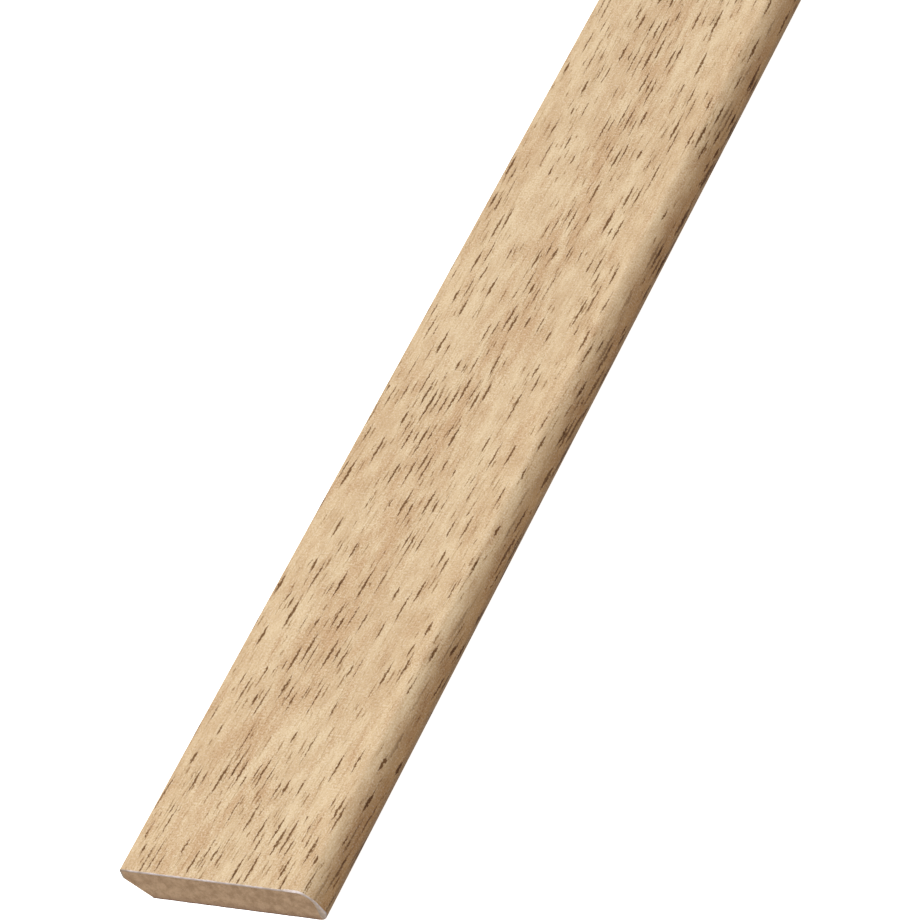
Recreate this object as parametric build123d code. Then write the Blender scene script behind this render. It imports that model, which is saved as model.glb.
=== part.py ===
"""Threshold strip: a profiled MDF bar wrapped in a printed oak foil.

Frame: +X across the strip, from the nose to the ramp; +Y along its length;
+Z up. The origin is the middle of the underside. Millimetres.

Every layer runs the whole length, so each one is a section drawn in X and Z
and extruded along Y. The outer outline has six straight edges, and the inner
outlines are the same edges moved inward by a depth of their own. Only the bar
differs: it is cut off upright near its outer edge, and glue fills the gap.
"""

from build123d import *
from math import cos, radians, sin, tan
import os

# Outer size
LENGTH = 900.0
WIDTH = 40.0
HEIGHT = 7.0

# Nose and undercut, on the -X side
NOSE_HEIGHT = 2.3  # upright edge, from the top face down to the undercut
UNDERCUT_ANGLE = 45.0  # from the underside

# Ramp, on the +X side: an upper and a lower slope, blended into one crown
RAMP_RUN = 3.45  # across, from the top face's corner to the outermost point
UPPER_ANGLE = 37.0  # upper slope, down from level
LOWER_ANGLE = 66.0  # lower slope, down from level

# Layers
FOIL = 0.3
GLUE = 0.1
RAMP_GLUE = 0.2  # the film thickens down the ramp
BAR_SETBACK = 1.5  # the bar's upright outer edge stands back, and glue pools there
PAPER = 0.25

# Corner radii of the outer outline
ARRIS_RADIUS = 0.4  # top face to nose
BEND_RADIUS = 2.5  # top face to upper slope
CROWN_RADIUS = 5.5  # upper slope to lower slope
LOWER_RADIUS = 1.9  # lower slope to underside
HEEL_RADIUS = 0.5  # nose to undercut
BAR_SHOULDER_RADIUS = 3.0  # the bar's own upper slope to its outer edge

# Where the foil stops, on the lower rounding, measured down from +X
FOIL_END_ANGLE = 66.0

HALF_WIDTH = WIDTH / 2
MARGIN = 5.0  # how far the trimming shapes reach past the outline

# The ramp's corners. The foot is where the lower slope would meet the underside,
# placed so that the lower rounding just reaches the full width.
BEND_X = HALF_WIDTH - RAMP_RUN
UPPER_FALL = tan(radians(UPPER_ANGLE))
LOWER_FALL = tan(radians(LOWER_ANGLE))
FOOT_X = HALF_WIDTH - LOWER_RADIUS + LOWER_RADIUS * tan(radians(180 - LOWER_ANGLE) / 2)
CROWN_X = (FOOT_X * LOWER_FALL - BEND_X * UPPER_FALL - HEIGHT) / (LOWER_FALL - UPPER_FALL)

CORNERS = [
    (-HALF_WIDTH, HEIGHT),
    (BEND_X, HEIGHT),
    (CROWN_X, (FOOT_X - CROWN_X) * LOWER_FALL),
    (FOOT_X, 0),
    (-HALF_WIDTH + (HEIGHT - NOSE_HEIGHT) / tan(radians(UNDERCUT_ANGLE)), 0),
    (-HALF_WIDTH, HEIGHT - NOSE_HEIGHT),
]


def inset_corners(depths):
    """The outline's corners after each edge moves inward by its own depth.

    Edge i runs from corner i to the next one: top, upper slope, lower slope,
    underside, undercut, nose. The corners go clockwise, so the inward side of
    an edge is on its right.
    """
    edges = []
    for i, depth in enumerate(depths):
        start, end = Vector(CORNERS[i]), Vector(CORNERS[(i + 1) % len(CORNERS)])
        along = (end - start).normalized()
        inward = Vector(along.Y, -along.X)
        edges.append((start + inward * depth, along))
    corners = []
    for i, (point, along) in enumerate(edges):
        last_point, last_along = edges[i - 1]
        gap = point - last_point
        cross = last_along.X * along.Y - last_along.Y * along.X
        step = (gap.X * along.Y - gap.Y * along.X) / cross
        corners.append(last_point + last_along * step)
    return corners


def rounded(corners, radii):
    """A section face from its corners, each with its own rounding."""
    return make_face(FilletPolyline(*corners, radius=radii, close=True))


def outer_section():
    radii = [ARRIS_RADIUS, BEND_RADIUS, CROWN_RADIUS, LOWER_RADIUS, 0, HEEL_RADIUS]
    return rounded(CORNERS, radii)


def inside_foil():
    """All that lies inside the foil, whose inner corners share its outer centres."""
    depths = [FOIL, FOIL, FOIL, FOIL, 0, FOIL]
    radii = [
        ARRIS_RADIUS - FOIL,
        BEND_RADIUS - FOIL,
        CROWN_RADIUS - FOIL,
        LOWER_RADIUS - FOIL,
        0,
        0,
    ]
    return rounded(inset_corners(depths), radii)


def inside_glue():
    """The milled bar: plain at the nose, and cut off upright at the outer edge."""
    skin = FOIL + GLUE
    corners = inset_corners([skin, FOIL + RAMP_GLUE, 0, 0, 0, skin])
    bend = corners[1]
    edge_x = HALF_WIDTH - BAR_SETBACK
    corners[2] = Vector(edge_x, bend.Y - (edge_x - bend.X) * UPPER_FALL)
    corners[3] = Vector(edge_x, 0)
    return rounded(corners, [0, BEND_RADIUS - skin, BAR_SHOULDER_RADIUS, 0, 0, 0])


def wrap_zone():
    """The part of the section that the foil and its glue cover.

    It is everything above a line from the undercut to the centre of the lower
    rounding, and from there out along a radius, so the foil ends square.
    """
    centre = Vector(HALF_WIDTH - LOWER_RADIUS, LOWER_RADIUS)
    turn = radians(-FOIL_END_ANGLE)
    reach = LOWER_RADIUS + MARGIN
    below_nose = (-HALF_WIDTH - MARGIN, LOWER_RADIUS)
    tip = centre + Vector(cos(turn), sin(turn)) * reach
    return make_face(
        Polyline(
            below_nose,
            (centre.X, centre.Y),
            (tip.X, tip.Y),
            (HALF_WIDTH + MARGIN, HEIGHT + MARGIN),
            (-HALF_WIDTH - MARGIN, HEIGHT + MARGIN),
            close=True,
        )
    )


def paper_section():
    """The backing sheet: flat, square-edged, and flush with the core's heel."""
    heel = -HALF_WIDTH + (HEIGHT - NOSE_HEIGHT - PAPER) / tan(radians(UNDERCUT_ANGLE))
    toe = HALF_WIDTH - LOWER_RADIUS
    return Pos((heel + toe) / 2, PAPER / 2) * Rectangle(toe - heel, PAPER)


def along_length(section):
    """Extrude a section drawn in X and Z evenly to both sides of Y = 0."""
    return extrude(Plane.XZ * section, amount=LENGTH / 2, both=True)


outer = outer_section()
foil_section = (outer - inside_foil()) & wrap_zone()
glue_section = (inside_foil() - inside_glue()) & wrap_zone()
core_section = outer - foil_section - glue_section - paper_section()

sections = {
    "mdf_core": core_section,
    "glue_film": glue_section,
    "decor_foil": foil_section,
    "backing_paper": paper_section(),
}

os.makedirs("parts", exist_ok=True)
for name, section in sections.items():
    export_step(along_length(section), f"parts/{name}.step")
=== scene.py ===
# %% [markdown]
# # A threshold strip wrapped in printed oak foil
#
# This lesson dresses a small piece of floor trim. The real object is a bar of fine
# fibreboard (MDF), milled to a low section: flat on top, with a rounded ramp along
# one side and an undercut nose along the other. A thin foil, printed to look like
# light oak, is glued over it. The engineering model is already packed, and it fixes
# where everything is. Here each layer gets its finish, and the layers that people
# see are modelled again with finer edges than the engineering model carries.

import math

import bmesh
import bpy
from mathutils import Matrix, Vector, noise


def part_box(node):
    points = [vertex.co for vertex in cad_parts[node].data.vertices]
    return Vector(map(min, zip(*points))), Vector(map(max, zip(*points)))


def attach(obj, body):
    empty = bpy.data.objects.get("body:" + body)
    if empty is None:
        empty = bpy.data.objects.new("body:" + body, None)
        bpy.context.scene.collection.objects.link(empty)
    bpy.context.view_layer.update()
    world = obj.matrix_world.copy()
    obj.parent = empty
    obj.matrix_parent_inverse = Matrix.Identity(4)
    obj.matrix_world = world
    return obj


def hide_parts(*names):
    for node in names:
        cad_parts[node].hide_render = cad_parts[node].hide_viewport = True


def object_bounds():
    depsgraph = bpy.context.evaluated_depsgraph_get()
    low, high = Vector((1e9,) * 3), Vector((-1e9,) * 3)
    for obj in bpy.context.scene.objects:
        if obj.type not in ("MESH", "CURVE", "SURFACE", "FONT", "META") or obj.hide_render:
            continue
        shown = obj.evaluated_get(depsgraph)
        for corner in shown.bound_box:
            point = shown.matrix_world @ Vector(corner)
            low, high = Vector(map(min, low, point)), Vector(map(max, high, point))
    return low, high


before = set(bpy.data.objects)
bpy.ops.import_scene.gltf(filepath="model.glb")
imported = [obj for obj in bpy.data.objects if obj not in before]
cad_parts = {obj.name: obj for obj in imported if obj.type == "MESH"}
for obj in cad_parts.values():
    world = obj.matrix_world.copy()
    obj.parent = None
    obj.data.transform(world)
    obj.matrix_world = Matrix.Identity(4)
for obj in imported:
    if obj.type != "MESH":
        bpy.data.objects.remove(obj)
cad_low, cad_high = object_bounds()
print("nodes:", sorted(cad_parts))
print("the strip measures", [round(size * 1000, 2) for size in cad_high - cad_low], "mm")

# %% [markdown]
# ## Sizes
#
# Lengths are in metres, so a small `MM` makes them readable. The overall sizes come
# from the frame's own boxes, so the new pieces can't drift away from it. Only the
# angles and corner radii of the section are said again here. The corners of the ramp
# follow from them: the bend where it leaves the top, the crown where its two slopes
# would meet, and the foot where the lower slope would reach the underside.

# %% The section's driving sizes
MM = 0.001

LENGTH = cad_high.y - cad_low.y
LEFT, RIGHT = cad_low.x, cad_high.x
TOP = cad_high.z
NEAR, FAR = cad_low.y, cad_high.y

NOSE_HEIGHT = 2.3 * MM
HEEL_Z = TOP - NOSE_HEIGHT  # the nose's lower corner
UNDERCUT_ANGLE = math.radians(45)
RAMP_RUN = 3.45 * MM
UPPER_ANGLE = math.radians(37)
LOWER_ANGLE = math.radians(66)

FOIL = 0.3 * MM
ARRIS_RADIUS = 0.4 * MM
BEND_RADIUS = 2.5 * MM
CROWN_RADIUS = 5.5 * MM
LOWER_RADIUS = 1.9 * MM
HEEL_RADIUS = 0.5 * MM
FOIL_END_ANGLE = math.radians(66)

BEND_X = RIGHT - RAMP_RUN
FOOT_X = RIGHT + LOWER_RADIUS * (math.tan((math.pi - LOWER_ANGLE) / 2) - 1)
UPPER_FALL, LOWER_FALL = math.tan(UPPER_ANGLE), math.tan(LOWER_ANGLE)
CROWN_X = (FOOT_X * LOWER_FALL - BEND_X * UPPER_FALL - TOP) / (LOWER_FALL - UPPER_FALL)
CROWN_Z = (FOOT_X - CROWN_X) * LOWER_FALL
EDGE_Z = (FOOT_X - RIGHT) * LOWER_FALL  # where the lower slope crosses the full width
print("the ramp starts", round(BEND_X / MM, 2), "mm from the middle")
print("its two slopes would meet at", [round(size / MM, 2) for size in (CROWN_X, CROWN_Z)])

# %% [markdown]
# ## Working by hand, in code
#
# Every piece is modelled with the same operators that the menus call. An operator
# acts on all that is selected, so each helper below first clears the selection, and
# faces and edges are then picked by where they are or which way they face.

# %% Helpers for selecting
NEARLY = 0.02 * MM  # two places this close count as the same


def only(piece):
    """Select one object and nothing else, in object mode."""
    if bpy.context.mode != "OBJECT":
        bpy.ops.object.mode_set(mode="OBJECT")
    bpy.ops.object.select_all(action="DESELECT")
    piece.select_set(True)
    bpy.context.view_layer.objects.active = piece


def edit(piece):
    """Open one object in edit mode with nothing selected."""
    only(piece)
    bpy.ops.object.mode_set(mode="EDIT")
    bpy.ops.mesh.select_mode(type="FACE")
    bpy.ops.mesh.select_all(action="DESELECT")


def pick(piece, kind, test):
    """In edit mode, select only the faces or only the edges that pass a test."""
    mesh = bmesh.from_edit_mesh(piece.data)
    for item in [*mesh.verts, *mesh.edges, *mesh.faces]:
        item.select = False
    for item in getattr(mesh, kind):
        if test(item):
            item.select_set(True)
    bmesh.update_edit_mesh(piece.data)


def runs_along(edge, x, z):
    """True for an edge parallel to the strip, at one place in the section."""
    ends = [vert.co for vert in edge.verts]
    return all(abs(co.x - x) < NEARLY and abs(co.z - z) < NEARLY for co in ends)


def is_long(edge):
    """True for an edge that runs from one end of the strip to the other."""
    return abs(edge.verts[0].co.y - edge.verts[1].co.y) > LENGTH / 2


def at_end(edge):
    """True for an edge that lies in one of the two saw cuts."""
    ends = [vert.co.y for vert in edge.verts]
    return any(all(abs(y - end) < NEARLY for y in ends) for end in (NEAR, FAR))


def on_end(face):
    """True for a face square to the strip's length."""
    return abs(face.normal.y) > 0.99


bpy.ops.object.select_all(action="DESELECT")
print("nothing is selected")

# %% [markdown]
# The next helpers do the shaping: a block of an exact size, a plane cut, a rounded
# corner, and a modifier that is applied at once. A cut and a merge both need a very
# small distance, because with the usual one they would pull nearby points onto the cut.

# %% Helpers for shaping
EXACT = 0.001 * MM  # points this close are merged
SMOOTH_ANGLE = math.radians(30)  # edges that turn by less are shaded smooth


def block(name, low, high):
    """A box between two corners, with its place in its mesh."""
    bpy.ops.object.select_all(action="DESELECT")
    bpy.ops.mesh.primitive_cube_add(size=1, location=(low + high) / 2)
    piece = bpy.context.object
    piece.name = piece.data.name = name
    piece.scale = high - low
    bpy.ops.object.transform_apply(location=True, rotation=True, scale=True)
    return piece


def slice_off(point, outward):
    """In edit mode, cut the whole mesh with a plane and drop what lies outside it."""
    bpy.ops.mesh.select_all(action="SELECT")
    bpy.ops.mesh.bisect(
        plane_co=point, plane_no=outward, use_fill=True, clear_outer=True, threshold=EXACT,
    )


def round_corner(piece, x, z, radius, turn, steps):
    """In edit mode, round the long edge at (x, z) to a true radius."""
    pick(piece, "edges", lambda edge: runs_along(edge, x, z))
    reach = radius * math.tan(turn / 2)
    fullness = (1 - 0.5 / (1 + math.cos(turn / 2))) ** 2
    bpy.ops.mesh.bevel(
        offset=reach, offset_type="OFFSET", segments=steps, affect="EDGES", profile=fullness,
    )


def apply_modifier(piece, kind, **settings):
    """Add a modifier, set it up, and apply it at once."""
    only(piece)
    modifier = piece.modifiers.new(kind.title(), kind)
    for key, value in settings.items():
        setattr(modifier, key, value)
    bpy.ops.object.modifier_apply(modifier=modifier.name)


def shade(piece):
    """Shade the gentle turns of a piece smooth and leave its sharp corners."""
    only(piece)
    bpy.ops.object.shade_smooth_by_angle(angle=SMOOTH_ANGLE)


print("points merge within", EXACT / MM, "mm")

# %% [markdown]
# ## The oak foil
#
# On the real strip the foil is one sheet, 0.3 mm thick, that a wrapping machine rolls
# over the bar. So it is modelled as a sheet too. A block is sliced along the ramp's two
# slopes and its long corners are rounded, which gives the outside skin. The faces that
# the foil doesn't cover are deleted, which leaves an open sheet, and Solidify gives it
# thickness towards the inside.
#
# Bevelling by a width gives a true radius only if the width is the distance from the
# corner to where the curve starts, which is the radius times the tangent of half the
# turn. The bevel's profile also has to be a little fuller than its usual quarter circle
# when the corner turns by less than 90 degrees. `round_corner` works out both. The outer
# edge is one rounding of 114 degrees, and a bevel that large bulges past its corner, so
# it is made as 24 degrees off the lower slope and then 90 degrees down to the underside.

# %% Slice and round the block
foil = block("oak_foil", cad_low, cad_high)
SQUARE = math.radians(90)

edit(foil)
slice_off((BEND_X, 0, TOP), (math.sin(UPPER_ANGLE), 0, math.cos(UPPER_ANGLE)))
slice_off((FOOT_X, 0, 0), (math.sin(LOWER_ANGLE), 0, math.cos(LOWER_ANGLE)))
for x, z, radius, turn, steps in (
    (LEFT, TOP, ARRIS_RADIUS, SQUARE, 5),
    (BEND_X, TOP, BEND_RADIUS, UPPER_ANGLE, 12),
    (CROWN_X, CROWN_Z, CROWN_RADIUS, LOWER_ANGLE - UPPER_ANGLE, 12),
    (RIGHT, EDGE_Z, LOWER_RADIUS, SQUARE - LOWER_ANGLE, 4),
    (RIGHT, 0, LOWER_RADIUS, SQUARE, 15),
):
    round_corner(foil, x, z, radius, turn, steps)
bpy.ops.mesh.select_all(action="SELECT")
bpy.ops.mesh.remove_doubles(threshold=2 * EXACT)
print("faces after rounding:", len(bmesh.from_edit_mesh(foil.data).faces))

# %% [markdown]
# The sheet stops on the lower rounding, 66 degrees down from level, and on the nose it
# runs down past where the undercut will be milled. The two sawn ends are open as well.

# %% Leave only the sheet
LOWER_CENTRE = Vector((RIGHT - LOWER_RADIUS, 0, LOWER_RADIUS))
SLICES = 119  # cuts along the length, which make 120 lengths of 7.5 mm


def not_wrapped(face):
    """True for the ends, the underside, and what is past the sheet's lower edge."""
    under = face.normal.z < -0.99
    from_centre = face.calc_center_median() - LOWER_CENTRE
    past = from_centre.z < 0 and math.atan2(-from_centre.z, from_centre.x) > FOIL_END_ANGLE
    return on_end(face) or under or past


pick(foil, "faces", not_wrapped)
bpy.ops.mesh.delete(type="FACE")
pick(foil, "edges", is_long)
bpy.ops.mesh.subdivide(number_cuts=SLICES)
bpy.ops.object.mode_set(mode="OBJECT")
print("sheet faces:", len(foil.data.polygons))

# %% [markdown]
# ## A map that follows the wrap
#
# The oak print has to run round the ramp without stretching, as it does when a flat
# sheet is rolled over the bar. So the sheet gets a UV map in metres: U is the distance
# walked around the section, and V is the distance along the strip. On the flat top, U is
# the same as X, which keeps the finish easy to think about. The map is made before the
# sheet has thickness, because Solidify then copies it to the inside as well.

# %% Unroll the sheet
def unroll(piece):
    """Write the wrap map: distance round the section, and distance along the strip."""
    inside = Vector((0, 0, TOP * 0.3))  # the section's points are in order of turn about this
    section = {}
    for vert in piece.data.vertices:
        if abs(vert.co.y - NEAR) < NEARLY:
            turn = math.atan2(vert.co.x - inside.x, vert.co.z - inside.z)
            section[turn] = Vector((vert.co.x, vert.co.z))
    walk = [section[turn] for turn in sorted(section)]
    distance, place = [0.0], {}
    for last, point in zip(walk, walk[1:]):
        distance.append(distance[-1] + (point - last).length)
    level = next(i for i, point in enumerate(walk) if abs(point.y - TOP) < NEARLY)
    shift = walk[level].x - distance[level]
    for point, far in zip(walk, distance):
        place[(round(point.x, 6), round(point.y, 6))] = far + shift
    wrap = piece.data.uv_layers.new(name="wrap")
    for loop in piece.data.loops:
        co = piece.data.vertices[loop.vertex_index].co
        wrap.data[loop.index].uv = (place[(round(co.x, 6), round(co.z, 6))], co.y - NEAR)
    return min(place.values()), max(place.values())


while foil.data.uv_layers:
    foil.data.uv_layers.remove(foil.data.uv_layers[0])
wrap_start, wrap_end = unroll(foil)
print("the sheet is", round((wrap_end - wrap_start) / MM, 1), "mm wide when flat")

# %% [markdown]
# Next the sheet gets its thickness, and then the undercut is milled through it, as on
# the real strip, where the milling comes after the wrapping. That is why the foil ends
# flush with the undercut and shows no step there.

# %% Give the sheet its thickness and mill the undercut
DECOR, CARRIER = 0, 1  # material slots: the printed face, and the pale sheet behind it
for slot_name in ("printed face", "carrier"):
    foil.data.materials.append(bpy.data.materials.new(slot_name))
apply_modifier(
    foil, "SOLIDIFY", thickness=FOIL, offset=-1, use_even_offset=True,
    material_offset=CARRIER, material_offset_rim=CARRIER,
)
edit(foil)
UNDERCUT_OUT = Vector((-math.sin(UNDERCUT_ANGLE), 0, -math.cos(UNDERCUT_ANGLE)))
slice_off((LEFT, 0, HEEL_Z), UNDERCUT_OUT)
pick(foil, "faces", lambda face: face.normal.dot(UNDERCUT_OUT) > 0.99)
foil.active_material_index = CARRIER
bpy.ops.object.material_slot_assign()
round_corner(foil, LEFT, HEEL_Z, HEEL_RADIUS, UNDERCUT_ANGLE, 5)
bpy.ops.object.mode_set(mode="OBJECT")
print("foil faces:", len(foil.data.polygons))

# %% [markdown]
# ## A sawn edge isn't perfect
#
# A fine saw leaves the foil's cut edge a little broken. The print comes away in small
# chips, and the pale sheet behind it shows as a thin light line, which is widest just
# before the ramp, where the blade leaves the flat top. First the outer edge at each end
# is split into short lengths.

# %% Split the print's sawn edges
CHIP_PITCH = 0.35 * MM
MOST_CUTS = 100  # as many as subdivide makes in one go
SAME_LENGTH = 0.1 * MM


def sawn_print(edge):
    """True for an edge in a saw cut, between the printed face and the carrier."""
    slots = {face.material_index for face in edge.link_faces}
    return at_end(edge) and slots == {DECOR, CARRIER}


def split_edges(piece, test, pitch):
    """In edit mode, split every edge that passes a test into lengths of about one pitch."""
    mesh = bmesh.from_edit_mesh(piece.data)
    lengths = {round(edge.calc_length(), 4) for edge in mesh.edges if test(edge)}
    for length in sorted(lengths):
        cuts = int(length / pitch)
        if cuts:
            pick(piece, "edges", lambda e: test(e) and abs(e.calc_length() - length) < SAME_LENGTH)
            bpy.ops.mesh.subdivide(number_cuts=min(cuts, MOST_CUTS), ngon=True)


edit(foil)
split_edges(foil, sawn_print, CHIP_PITCH)
bpy.ops.object.mode_set(mode="OBJECT")
print("the foil now has", len(foil.data.edges), "edges")

# %% [markdown]
# Then each short length gets its own bevel weight, from a coarse and a fine noise and
# from how near it is to the torn place, and a Bevel modifier that follows those weights
# cuts the chips. The bevel's new faces go straight to the carrier's material.

# %% Chip the foil at both saw cuts
CHIP = 0.28 * MM  # the deepest chip
SHALLOWEST = 0.12  # the shallowest, as a share of it
COARSE, FINE = 2.5 * MM, 0.6 * MM  # the sizes of the two noises
TORN_X, TORN_REACH = 15.0 * MM, 2.6 * MM  # the blade tears most here, and this far each way


def chip_weight(place):
    """How deep the chip at one place is, as a share of the deepest."""
    if place.x < LEFT + ARRIS_RADIUS:
        return 0.0  # the nose is cut cleanly
    torn = max(0.0, 1 - abs(place.x - TORN_X) / TORN_REACH)
    ragged = 0.5 * noise.noise(place / COARSE) + 0.4 * noise.noise(place / FINE)
    return min(1.0, max(SHALLOWEST, 0.30 + ragged + 1.1 * torn))


foil.data.attributes.new("bevel_weight_edge", "FLOAT", "EDGE")
mesh = bmesh.new()
mesh.from_mesh(foil.data)
weight_layer = mesh.edges.layers.float.get("bevel_weight_edge")
chipped = [edge for edge in mesh.edges if sawn_print(edge)]
for edge in chipped:
    edge[weight_layer] = chip_weight((edge.verts[0].co + edge.verts[1].co) / 2)
mesh.to_mesh(foil.data)
mesh.free()
apply_modifier(
    foil, "BEVEL", width=CHIP, segments=1, limit_method="WEIGHT", material=CARRIER,
)
shade(foil)
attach(foil, "root")
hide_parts("decor_foil")
print("chipped", len(chipped), "short edges")

# %% [markdown]
# ## The fibreboard bar
#
# The bar's shape is already right in the engineering model, down to the small toe under
# the foil's lower edge. What it lacks is the sawn face. So a copy of that mesh is taken,
# its stored normals are dropped, its doubled points are merged and its flat triangles
# dissolved into whole faces. Then the two ends are cut into a fine grid, and a Displace
# modifier roughens them.

# %% Copy the bar and grid its sawn ends
GRID = 0.5 * MM

bar = bpy.data.objects.new("fibreboard_bar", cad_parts["mdf_core"].data.copy())
bpy.context.collection.objects.link(bar)
only(bar)
bpy.ops.mesh.customdata_custom_splitnormals_clear()
edit(bar)
bpy.ops.mesh.select_all(action="SELECT")
bpy.ops.mesh.remove_doubles(threshold=EXACT)
bpy.ops.mesh.dissolve_limited(angle_limit=math.radians(1))
bar_low, bar_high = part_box("mdf_core")


def grid_ends(piece, low, high):
    """In edit mode, cut only the two end faces into small squares."""
    for axis in (0, 2):
        outward = Vector([1.0 if i == axis else 0.0 for i in range(3)])
        cuts = int((high[axis] - low[axis]) / GRID)
        for i in range(1, cuts + 1):
            place = low + outward * (high[axis] - low[axis]) * i / (cuts + 1)
            pick(piece, "faces", on_end)
            bpy.ops.mesh.bisect(plane_co=place, plane_no=outward, threshold=EXACT)


grid_ends(bar, bar_low, bar_high)
bpy.ops.object.mode_set(mode="OBJECT")
print("bar faces:", len(bar.data.polygons))

# %% [markdown]
# A vertex group keeps the roughening off the rim, so the bar still meets its foil and its
# paper. The texture is a plain cloud noise, which is the same on every run.

# %% Roughen the sawn faces
SAWN_DEPTH, SAWN_GRAIN = 0.07 * MM, 0.7 * MM


def inner_end_points(piece):
    """The points of the end grids that touch nothing but end faces."""
    mesh = bmesh.new()
    mesh.from_mesh(piece.data)
    inner = [
        vert.index for vert in mesh.verts
        if vert.link_faces and all(on_end(face) for face in vert.link_faces)
    ]
    mesh.free()
    return inner


def roughen(piece, name, points, direction, depth, grain, detail=2):
    """Move some points to and fro along one axis, by a cloud noise of a given grain."""
    piece.vertex_groups.new(name=name).add(points, 1.0, "REPLACE")
    clouds = bpy.data.textures.new(name, "CLOUDS")
    clouds.noise_scale, clouds.noise_depth = grain, detail
    apply_modifier(
        piece, "DISPLACE", texture=clouds, texture_coords="LOCAL", direction=direction,
        strength=depth, mid_level=0.5, vertex_group=name,
    )


inner = inner_end_points(bar)
roughen(bar, "saw marks", inner, "Y", SAWN_DEPTH, SAWN_GRAIN, detail=3)
shade(bar)
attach(bar, "root")
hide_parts("mdf_core")
print("roughened", len(inner), "points")

# %% [markdown]
# ## The backing paper
#
# Under the bar is a sheet of brown paper that stops the board from cupping. Its edge
# over the undercut was trimmed with the bar, so it wavers by a few hundredths of a
# millimetre, and the saw has left its short edges ragged. A box of its exact size is
# split along its edges. Then `roughen` pushes the one edge sideways and the others
# lengthways.

# %% Model the paper
LONG_CUTS, SHORT_CUTS = 100, 60
WAVER, WAVER_GRAIN = 0.16 * MM, 6 * MM
TEAR, TEAR_GRAIN = 0.12 * MM, 0.8 * MM

paper_low, paper_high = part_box("backing_paper")
paper = block("kraft_paper", paper_low, paper_high)
edit(paper)
pick(paper, "edges", is_long)
bpy.ops.mesh.subdivide(number_cuts=LONG_CUTS)
pick(paper, "edges", lambda edge: at_end(edge) and edge.calc_length() > 1 * MM)
bpy.ops.mesh.subdivide(number_cuts=SHORT_CUTS, ngon=True)
bpy.ops.object.mode_set(mode="OBJECT")
points = paper.data.vertices
on_heel = [p.index for p in points if abs(p.co.x - paper_low.x) < NEARLY]
on_ends = [p.index for p in points if min(p.co.y - NEAR, FAR - p.co.y) < NEARLY]
roughen(paper, "trimmed edge", on_heel, "X", WAVER, WAVER_GRAIN)
roughen(paper, "sawn edges", on_ends, "Y", TEAR, TEAR_GRAIN)
shade(paper)
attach(paper, "root")
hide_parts("backing_paper")
print("paper edge points:", len(on_heel), "trimmed,", len(on_ends), "sawn")

# %% [markdown]
# ## Painting with arithmetic
#
# A finish is a tree of nodes, but it reads best as sums. `Varying` wraps one output
# socket and takes `+`, `-`, `*` and `/`, and each of them adds the Math node that does it.

# %% A number that varies over a surface
class Varying:
    """A number or vector that changes over a surface: one output socket."""

    def __init__(self, finish, socket):
        self.finish, self.socket = finish, socket

    def maths(self, operation, *others):
        values = dict(enumerate((self, *others)))
        return self.finish.add("ShaderNodeMath", {"operation": operation}, values)

    def output(self, name):
        return Varying(self.finish, self.socket.node.outputs[name])

    def __add__(self, other):
        return self.maths("ADD", other)

    def __radd__(self, other):
        return self.maths("ADD", other)

    def __mul__(self, other):
        return self.maths("MULTIPLY", other)

    def __rmul__(self, other):
        return self.maths("MULTIPLY", other)

    def __sub__(self, other):
        return self.maths("SUBTRACT", other)

    def __rsub__(self, other):
        return self.finish.add("ShaderNodeMath", {"operation": "SUBTRACT"}, {0: other, 1: self})

    def __truediv__(self, other):
        return self.maths("DIVIDE", other)

    def __rtruediv__(self, other):
        return self.finish.add("ShaderNodeMath", {"operation": "DIVIDE"}, {0: other, 1: self})

    def size(self):
        return self.maths("ABSOLUTE")

    def floor(self):
        return self.maths("FLOOR")

    def fraction(self):
        return self.maths("FRACT")

    def below(self, limit):
        return self.maths("LESS_THAN", limit)

    def rise(self, low, high):
        """0 at low, 1 at high, and a smooth step between; low may be the greater."""
        settings = {"interpolation_type": "SMOOTHSTEP", "clamp": True}
        values = {"Value": self, "From Min": low, "From Max": high, "To Min": 0.0, "To Max": 1.0}
        return self.finish.add("ShaderNodeMapRange", settings, values)


print("a varying number takes + - * and /")

# %% [markdown]
# `Finish` owns the tree of one material, and its method `add` makes every node. Colours
# never go through Math nodes, which would turn them grey: `mix` blends them. `cloud` and
# `dice` are the two sources of variation, one soft and one that jumps from cell to cell.

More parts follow.
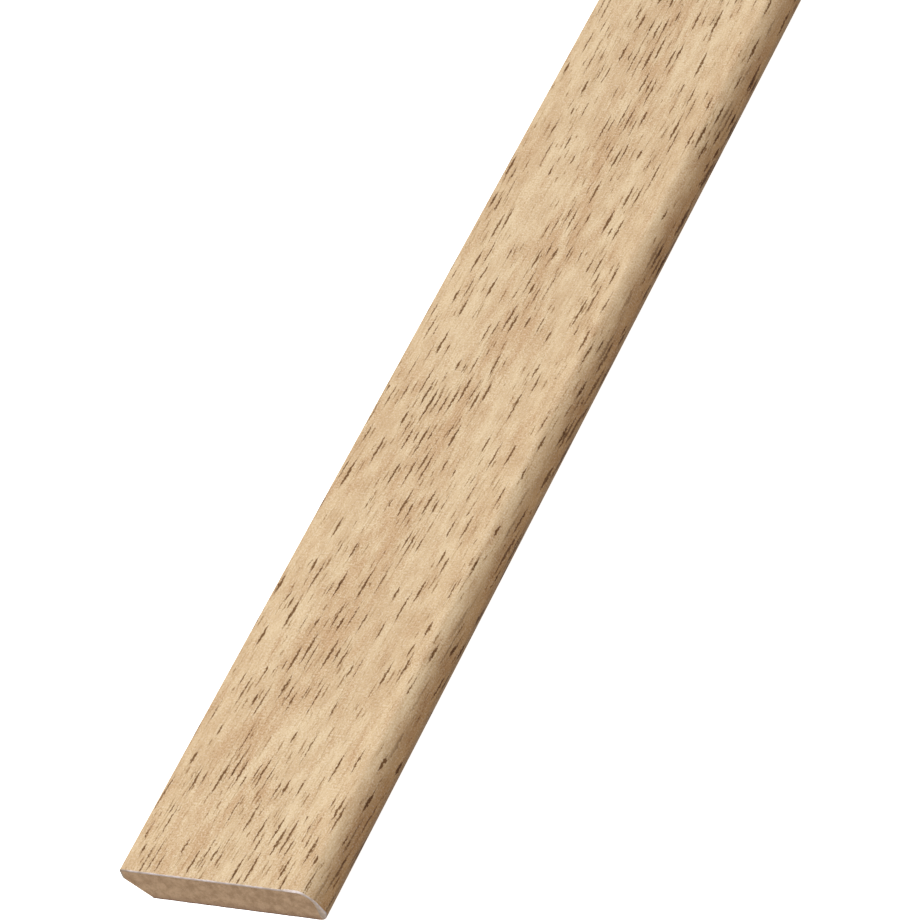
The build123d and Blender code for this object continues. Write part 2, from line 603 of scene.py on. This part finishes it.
# %% The node tree of one finish
class Finish:
    """The node tree of one material, and the only place that adds nodes to it."""

    def __init__(self, material):
        material.use_nodes = True
        self.tree = material.node_tree
        self.tree.nodes.clear()

    def add(self, kind, settings=None, values=None, output=0):
        node = self.tree.nodes.new(kind)
        for key, setting in (settings or {}).items():
            setattr(node, key, setting)
        for key, value in (values or {}).items():
            if isinstance(value, Varying):
                self.tree.links.new(value.socket, node.inputs[key])
            else:
                node.inputs[key].default_value = value
        return Varying(self, node.outputs[output]) if node.outputs else node

    def mix(self, share, first, second, blend="MIX"):
        """Blend two colours; share may be a number or a Varying."""
        settings = {"data_type": "RGBA", "blend_type": blend}
        colours = [c if isinstance(c, Varying) else (*c, 1.0) for c in (first, second)]
        return self.add("ShaderNodeMix", settings, {0: share, 6: colours[0], 7: colours[1]}, 2)

    def vector(self, x, y, z):
        return self.add("ShaderNodeCombineXYZ", None, {"X": x, "Y": y, "Z": z})

    def cloud(self, x, y, seed, detail=2.0, roughness=0.5):
        """Soft noise from about 0 to 1 on two coordinates; seed picks the pattern."""
        values = {"Vector": self.vector(x, y, seed), "Scale": 1.0, "Detail": detail}
        return self.add("ShaderNodeTexNoise", None, {**values, "Roughness": roughness})

    def dice(self, x, y, seed):
        """Four unrelated random numbers for each whole x and y."""
        rolled = self.add("ShaderNodeTexWhiteNoise", None, {"Vector": self.vector(x, y, seed)})
        split = self.add("ShaderNodeSeparateColor", None, {"Color": rolled.output("Color")})
        return rolled, split, split.output("Green"), split.output("Blue")

    def surface(self, height, **values):
        """Finish the tree with a Principled shader; height is in millimetres."""
        bump = self.add("ShaderNodeBump", None, {"Height": height * MM, "Distance": 1.0})
        shader = self.add("ShaderNodeBsdfPrincipled", None, {**values, "Normal": bump})
        self.add("ShaderNodeOutputMaterial", None, {"Surface": shader})


print("finishes can be written as sums")

# %% [markdown]
# ## The oak print
#
# Printed oak has four things to see, from large to small: slow patches that run from
# cream to a warm tan, fine fibres along the length, a stipple as fine as sand, and the
# pores, which are short dark dashes. All of them are drawn on the wrap map, so they
# run round the ramp with the foil, and all follow the grain, which drifts sideways in
# one long slow wave. From here on, lengths inside a finish are in millimetres.

# %% Coordinates that follow the grain
GRAIN_WAVE = 920.0  # along the strip, for one full wave of the grain
GRAIN_DRIFT = 9.5  # how far the wave moves the grain sideways


def grain_coordinates(finish):
    """Across and along the unrolled foil, in millimetres, and across the grain."""
    wrap = finish.add("ShaderNodeUVMap", {"uv_map": "wrap"})
    split = finish.add("ShaderNodeSeparateXYZ", None, {"Vector": wrap})
    across, along = split / MM, split.output("Y") / MM
    wave = (along * (2 * math.pi / GRAIN_WAVE)).maths("SINE")
    return across, along, across - wave * GRAIN_DRIFT


print("one grain wave is", GRAIN_WAVE, "mm long")

# %% [markdown]
# Dashes need more than noise. The sheet is divided into long narrow cells, each column
# of them slid by a random amount, and a cell may hold one dash. Random numbers for the
# cell say whether it does, and how long, how wide and where the dash is. A curve thins
# it towards its tips, and fine noise frays its sides and breaks it into beads. Under the
# dash lies a fainter, thinner one that runs on past its tips. `pores` is that recipe,
# used again for each size of dash.

# %% The recipe for pores
def pores(finish, grain, along, cell, widest, seed, share):
    """Ragged dashes with faint tails, one at most in each cell: 1 inside, 0 outside."""
    cell_width, cell_length = cell
    column = (grain / cell_width).floor()
    slide = finish.dice(column, 0.5, seed)[0]
    row_place = along / cell_length + slide * 7.3
    row = row_place.floor()
    chance, place, length, heft = finish.dice(column, row, seed + 0.5)

    # How far this point is from the dash's own middle line, and how far along it
    half_length = (length * 0.32 + 0.14) * cell_length
    from_middle = (row_place.fraction() - 0.5) * cell_length
    sideways = ((grain / cell_width).fraction() - 0.5 - (place - 0.5) * 0.60) * cell_width
    lean = from_middle * ((chance - 0.5) * 0.03)
    wobble = (finish.cloud(grain / 2.0, along / 1.6, seed + 6.4, detail=1.0) - 0.5) * 0.35
    off_line = (sideways - lean - wobble).size()
    reach = from_middle / half_length

    # The beaded core, the fainter tail, and the gap that keeps a dash inside its cell
    beads = finish.cloud(grain / 0.45, along / 0.8, seed + 3.1, detail=2.0)
    ragged = (finish.cloud(grain / 0.19, along / 0.34, seed + 8.3, detail=1.0) - 0.5) * 0.46
    half_width = (1 - reach * reach) * (heft * 0.6 + 0.4) * (beads * 2.6 - 0.25) * widest
    core = (half_width + ragged - off_line).rise(-0.06, 0.14)
    tail_width = (1 - reach * reach * 0.25) * (widest * 0.45)
    tail = (tail_width + ragged * 0.8 - off_line).rise(-0.05, 0.12) * 0.35
    inside_cell = (0.5 - (row_place.fraction() - 0.5).size()).rise(0.0, 0.12)
    return core.maths("MAXIMUM", tail) * inside_cell * chance.below(share)


print("pores come from one recipe")

# %% [markdown]
# The ground is mixed from two paints, cream and tan, by slow noise. Then a warm blush
# gathers in ragged patches, most of them in the heart band, a stripe on the nose's side
# of the middle. Everything darker is laid over that as an ink, which multiplies what
# is under it, so a half-covered spot stays brown and never turns grey. A thin ink deepens
# both sides of the top a little, and a stronger one covers the lower part of the ramp,
# where the print is darker and the ramp's shade is partly painted in as well. Fibres and
# stipple come last. The stipple's dark specks are partly print and partly painted shade
# of its fine emboss, and its light specks are painted highlights.

# %% The ground colour of the print
CREAM = (0.668, 0.518, 0.330)
TAN = (0.546, 0.384, 0.224)
BLUSH = (0.500, 0.318, 0.172)
EDGE_INK = (0.90, 0.80, 0.70)
RAMP_INK_AND_SHADE = (0.86, 0.69, 0.52)
SHADE_INK = (0.72, 0.64, 0.54)
PAINTED_HIGHLIGHT = (1.0, 1.0, 1.0)
HEART, HEART_REACH = -8.5, 8.0  # the middle of the heart band, and how far it reaches


def print_ground(finish, across, along, grain, ramp):
    """The colour under the pores, the fine stipple, and the heart band."""
    edges = across.rise(8.0, 13.5) + (1 - across.rise(-19.5, -9.5))
    slow = finish.cloud(grain / 9.0, along / 40.0, 1.0, detail=2.0)
    quick = finish.cloud(grain / 2.2, along / 6.0, 2.0, detail=3.0, roughness=0.55)
    tone = (slow * 0.4 + quick * 0.6).rise(0.37, 0.64)
    colour = finish.mix(tone * 0.85, CREAM, TAN)
    stipple = finish.cloud(grain / 0.30, along / 0.42, 9.0, detail=2.0, roughness=0.65)
    heart = 1 - ((grain - HEART) / HEART_REACH).size().rise(0.25, 1.0)
    patches = finish.cloud(grain / 2.6, along / 13.0, 5.0, detail=5.0, roughness=0.62)
    warm = (patches + heart * 0.12 + (stipple - 0.5) * 0.35).rise(0.46, 0.78)
    colour = finish.mix(warm * 0.80, colour, BLUSH)
    colour = finish.mix(edges * 0.25, colour, EDGE_INK, "MULTIPLY")
    # Darker print on the lower ramp, with painted shade of the ramp laid over it.
    colour = finish.mix(ramp, colour, RAMP_INK_AND_SHADE, "MULTIPLY")

    fibre = finish.cloud(grain / 0.40, along / 4.5, 7.0, detail=2.0)
    colour = finish.mix(fibre.rise(0.42, 0.72) * 0.34, colour, SHADE_INK, "MULTIPLY")
    # Dark specks of the stipple: partly print speckle, partly painted shade of the fine emboss.
    speckle_and_shade = stipple.rise(0.46, 0.72) * (warm * 0.30 + 0.50)
    colour = finish.mix(speckle_and_shade, colour, SHADE_INK, "MULTIPLY")
    # Light specks of the stipple: a painted highlight of the fine emboss.
    colour = finish.mix(stipple.rise(0.50, 0.28) * 0.16, colour, PAINTED_HIGHLIGHT)
    return colour, stipple, heart


print("the ground runs from", CREAM, "to", TAN)

# %% [markdown]
# The pores come in four sizes: hairs, small dashes, large dashes, and the long streaks
# that only the ramp has. They crowd together where a slow noise is high and along the
# heart band. The pores are pressed into the lacquer too, so the same masks dent the bump
# and leave the dashes a little duller than the rest.

# %% Paint the printed face
HAIR_INK = (0.68, 0.60, 0.49)
SMALL_INK = (0.45, 0.35, 0.24)
LARGE_INK = (0.24, 0.148, 0.068)
STREAK_INK = (0.27, 0.190, 0.112)
# For each size: its cell's width and length, its widest dash, and its own random numbers.
HAIRS = {"cell": (0.7, 11.0), "widest": 0.13, "seed": 21.0}
SMALL = {"cell": (1.0, 5.2), "widest": 0.20, "seed": 31.0}
LARGE = {"cell": (1.5, 9.6), "widest": 0.30, "seed": 41.0}
STREAKS = {"cell": (1.0, 13.0), "widest": 0.36, "seed": 51.0}


def paint_print(material):
    """Oak on foil: the ground, then the pores from the faint ones to the dark ones."""
    finish = Finish(material)
    across, along, grain = grain_coordinates(finish)
    ramp = across.rise(17.6, 21.6)
    colour, stipple, heart = print_ground(finish, across, along, grain, ramp)

    crowd = finish.cloud(grain / 6.0, along / 26.0, 11.0, detail=1.0)
    busy = (crowd + heart * 0.08).rise(0.38, 0.62)
    hairs = pores(finish, grain, along, share=busy * 0.45 + 0.25, **HAIRS)
    small = pores(finish, grain, along, share=busy * 0.34 + 0.10, **SMALL)
    large = pores(finish, grain, along, share=busy * 0.52 + 0.18, **LARGE)
    streaks = pores(finish, grain, along, share=0.55, **STREAKS) * ramp
    colour = finish.mix(hairs * 0.75, colour, HAIR_INK, "MULTIPLY")
    colour = finish.mix(small * 0.85, colour, SMALL_INK, "MULTIPLY")
    colour = finish.mix(large * 0.95, colour, LARGE_INK, "MULTIPLY")
    colour = finish.mix(streaks * 0.85, colour, STREAK_INK, "MULTIPLY")

    dents = small * 0.6 + large + hairs * 0.3
    orange_peel = finish.cloud(across / 2.2, along / 3.0, 13.0, detail=2.0)
    height = stipple * 0.016 + orange_peel * 0.03 - dents * 0.02
    roughness = stipple * 0.10 + dents * 0.20 + 0.32
    finish.surface(
        height,
        **{"Base Color": colour, "Roughness": roughness, "Specular IOR Level": 0.20},
    )


paint_print(foil.data.materials[DECOR])
print("print painted with", len(foil.data.materials[DECOR].node_tree.nodes), "nodes")

# %% [markdown]
# ## The pale layers
#
# The carrier is the pale plastic under the print, seen only where the saw has cut it.
# The glue behind it is a whitish hot melt. The saw has rubbed sawdust into both: in
# smears all along, and in patches down the ramp. At the nose the same brown is laid on
# fully as painted shade. Nothing here follows the wrap, so Object coordinates serve.
# They are turned into millimetres first.

# %% Paint the carrier and the glue
SAWDUST_AND_SHADE = (0.400, 0.300, 0.215)
CARRIER_LIGHT, CARRIER_DARK = (0.74, 0.65, 0.63), (0.58, 0.47, 0.43)
GLUE_LIGHT, GLUE_DARK = (0.76, 0.62, 0.50), (0.66, 0.51, 0.40)


def object_millimetres(finish):
    """The three Object coordinates, in millimetres."""
    place = finish.add("ShaderNodeTexCoord", output="Object")
    split = finish.add("ShaderNodeSeparateXYZ", None, {"Vector": place})
    return split / MM, split.output("Y") / MM, split.output("Z") / MM


def give(piece, name, paint, *choices):
    """Make a finish, and put it on every face of a piece."""
    material = bpy.data.materials.new(name)
    paint(material, *choices)
    piece.data.materials.clear()
    piece.data.materials.append(material)


def paint_pale(material, light, dark, grain_size, rubbed):
    """Pale plastic with sawdust in it and painted shade at the nose; rubbed says how much dust
    there is on the ramp.
    """
    finish = Finish(material)
    x, y, z = object_millimetres(finish)
    smear = finish.cloud(x / grain_size + y / 9.0, z / grain_size, 3.0, detail=3.0)
    colour = finish.mix(smear.rise(0.35, 0.70), light, dark)
    dusty = finish.cloud(x / 2.6 + y / 4.0, z / 2.6, 6.0, detail=3.0).rise(0.45, 0.68)
    # Painted shade: the pale edge at the nose gets the brown at full strength.
    nose_shade = 1 - x.rise(-19.0, -17.5)
    on_ramp = (x.rise(16.2, 17.4) - x.rise(18.8, 19.7)) * (smear * 1.4 + 0.3)
    dust_and_shade = (dusty * 0.55 + nose_shade + on_ramp * rubbed).maths("MINIMUM", 0.95)
    colour = finish.mix(dust_and_shade, colour, SAWDUST_AND_SHADE)
    rough = smear * 0.2 + 0.45
    finish.surface(smear * 0.02, **{"Base Color": colour, "Roughness": rough})


paint_pale(foil.data.materials[CARRIER], CARRIER_LIGHT, CARRIER_DARK, 0.6, 0.35)
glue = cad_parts["glue_film"]
give(glue, "set_glue", paint_pale, GLUE_LIGHT, GLUE_DARK, 0.5, 0.40)
print("carrier and glue painted")

# %% [markdown]
# ## The fibreboard's finish
#
# Fibreboard is brown and mottled. It is packed more tightly, and so darker, near its two
# faces. Short fibres lie in the plane of the board, so their noise is squeezed in Z, and
# light and dark specks are where single fibres catch the saw.

# %% Paint the board
BOARD_LIGHT, BOARD_DARK = (0.63, 0.415, 0.248), (0.44, 0.270, 0.148)
FIBRE, DENSE = (0.33, 0.20, 0.115), (0.27, 0.145, 0.085)
PALE_SPECK, DARK_SPECK = (0.72, 0.54, 0.37), (0.30, 0.18, 0.105)


def paint_board(material):
    """Sawn fibreboard: mottle, then fibres, then specks, then the two dense faces."""
    finish = Finish(material)
    x, y, z = object_millimetres(finish)
    mottle = finish.cloud(x / 1.4 + y / 7.0, z / 1.7 + y / 5.0, 1.4, detail=4.0, roughness=0.6)
    fibres = finish.cloud(x / 0.5 + y / 0.9, z / 0.16, 2.6, detail=3.0, roughness=0.65)
    specks = finish.cloud(x / 0.22 + y / 0.25, z / 0.22, 4.3, detail=2.0)
    colour = finish.mix(mottle.rise(0.34, 0.68), BOARD_LIGHT, BOARD_DARK)
    colour = finish.mix(fibres.rise(0.45, 0.75) * 0.35, colour, FIBRE)
    colour = finish.mix(specks.rise(0.56, 0.76) * 0.5, colour, PALE_SPECK)
    colour = finish.mix(specks.rise(0.42, 0.26) * 0.4, colour, DARK_SPECK)
    dense = 1 - z.rise(0.2, 1.7) + z.rise(6.1, 6.6) * 0.3
    colour = finish.mix(dense * 0.50, colour, DENSE)
    height = fibres * 0.05 + mottle * 0.05 + specks * 0.02
    finish.surface(height, **{"Base Color": colour, "Roughness": specks * 0.1 + 0.82})


give(bar, "sawn_fibreboard", paint_board)
print("board painted")

# %% [markdown]
# ## The paper's finish
#
# Kraft paper is a dark red-brown with a soft cloud of pulp in it and long pale hairs,
# which lie along the roll it came from.

# %% Paint the paper
KRAFT_LIGHT, KRAFT_DARK = (0.235, 0.115, 0.070), (0.165, 0.080, 0.048)
KRAFT_HAIR = (0.33, 0.21, 0.13)


def paint_kraft(material):
    """Dark kraft paper: clouded pulp with paler hairs along it."""
    finish = Finish(material)
    x, y, z = object_millimetres(finish)
    pulp = finish.cloud(x / 3.0, y / 5.0, 1.0, detail=5.0, roughness=0.65)
    hairs = finish.cloud(x / 0.35 + z, y / 2.2, 2.0, detail=3.0, roughness=0.6)
    colour = finish.mix(pulp.rise(0.35, 0.65), KRAFT_LIGHT, KRAFT_DARK)
    colour = finish.mix(hairs.rise(0.52, 0.72) * 0.45, colour, KRAFT_HAIR)
    height = hairs * 0.02 + pulp * 0.02
    finish.surface(height, **{"Base Color": colour, "Roughness": pulp * 0.2 + 0.65})


give(paper, "kraft_sheet", paint_kraft)
print("finishes:", sorted(material.name for material in bpy.data.materials))

# %% [markdown]
# ## The floor, the light and the camera
#
# The strip lies on a plain white floor. The floor doesn't throw its light back up at the
# strip, because a white floor this near would wash the ramp's shade away. It glows
# instead, as a light table does, which thins its shadows to a line under the strip. From
# below the floor is clear, so the underside can be looked at, and it lies a hair lower
# than the paper so that the two don't fight for the same place.

# %% Lay the floor
FLOOR_SIZE = 12.0
FLOOR_GLOW = 0.9
FLOOR_DROP = 0.02 * MM

bpy.ops.object.select_all(action="DESELECT")
bpy.ops.mesh.primitive_plane_add(size=FLOOR_SIZE, location=(0, 0, -FLOOR_DROP))
floor = bpy.context.object
floor.name = "floor"
floor_finish = bpy.data.materials.new("floor_white")
give_white = Finish(floor_finish)
floor_shader = give_white.add(
    "ShaderNodeBsdfPrincipled", None,
    {
        "Base Color": (0.94, 0.94, 0.94, 1), "Roughness": 0.9,
        "Emission Color": (1, 1, 1, 1), "Emission Strength": FLOOR_GLOW,
    },
)
from_below = give_white.add("ShaderNodeNewGeometry").output("Backfacing")
glass = give_white.add("ShaderNodeBsdfTransparent")
one_sided = give_white.add("ShaderNodeMixShader", None, {0: from_below, 1: floor_shader, 2: glass})
give_white.add("ShaderNodeOutputMaterial", None, {"Surface": one_sided})
floor.data.materials.append(floor_finish)
floor.visible_diffuse = False
floor.visible_glossy = False
print("the floor is", FLOOR_SIZE, "m square")

# %% [markdown]
# One large soft light stands above, a little to the nose's side and towards the viewer,
# so the flat top is bright and the ramp falls into shade. A second, weaker one beyond
# it puts a faint sheen along the bend. The rest is an even, dim sky. The Standard view
# shows the colours as they were mixed.

# %% Hang the lights
SKY = 0.43
LIT = Vector((0, NEAR + 0.1, 0))  # the lights look at the near end


def softbox(name, towards, distance, size, power):
    """A square area light, off in one direction from the near end of the strip."""
    lamp = bpy.data.lights.new(name, "AREA")
    lamp.size, lamp.energy = size, power
    holder = bpy.data.objects.new(name, lamp)
    bpy.context.collection.objects.link(holder)
    direction = Vector(towards).normalized()
    holder.location = LIT + direction * distance
    holder.rotation_euler = direction.to_track_quat("Z", "Y").to_euler()


softbox("key_light", (-0.25, -0.35, 1.0), 2.6, 1.3, 58.5)
softbox("sheen_light", (-0.08, 0.60, 0.80), 2.4, 0.5, 7.0)
world = bpy.data.worlds.new("soft_sky")
world.use_nodes = True
world.node_tree.nodes["Background"].inputs["Color"].default_value = (1, 1, 1, 1)
world.node_tree.nodes["Background"].inputs["Strength"].default_value = SKY
bpy.context.scene.world = world
bpy.context.scene.view_settings.view_transform = "Standard"

# %% [markdown]
# The camera looks down at the near end from the ramp's side, through a long lens, and is
# rolled so that the strip climbs steeply from the lower left. Its place is worked out
# from the point it aims at, the way it looks, and how far back it stands.

# %% Set up the camera
VIEW_AZIMUTH = math.radians(37.96)
VIEW_ELEVATION = math.radians(40.59)
VIEW_ROLL = math.radians(22.11)
VIEW_DISTANCE = 1.01377
AIM = Vector((0.0034, NEAR + 0.1038, TOP))
LENS, SENSOR = 215.2, 36.0

lens = bpy.data.cameras.new("camera")
lens.lens, lens.sensor_width = LENS, SENSOR
lens.clip_start, lens.clip_end = 0.01, 20.0
camera = bpy.data.objects.new("camera", lens)
bpy.context.collection.objects.link(camera)
backward = Vector((
    math.sin(VIEW_AZIMUTH) * math.cos(VIEW_ELEVATION),
    -math.cos(VIEW_AZIMUTH) * math.cos(VIEW_ELEVATION),
    math.sin(VIEW_ELEVATION),
))
level = backward.to_track_quat("Z", "Y").to_matrix()
turned = level @ Matrix.Rotation(-VIEW_ROLL, 3, "Z")
camera.matrix_world = Matrix.Translation(AIM + backward * VIEW_DISTANCE) @ turned.to_4x4()
bpy.context.scene.camera = camera
print("camera at", [round(value, 3) for value in camera.matrix_world.translation])
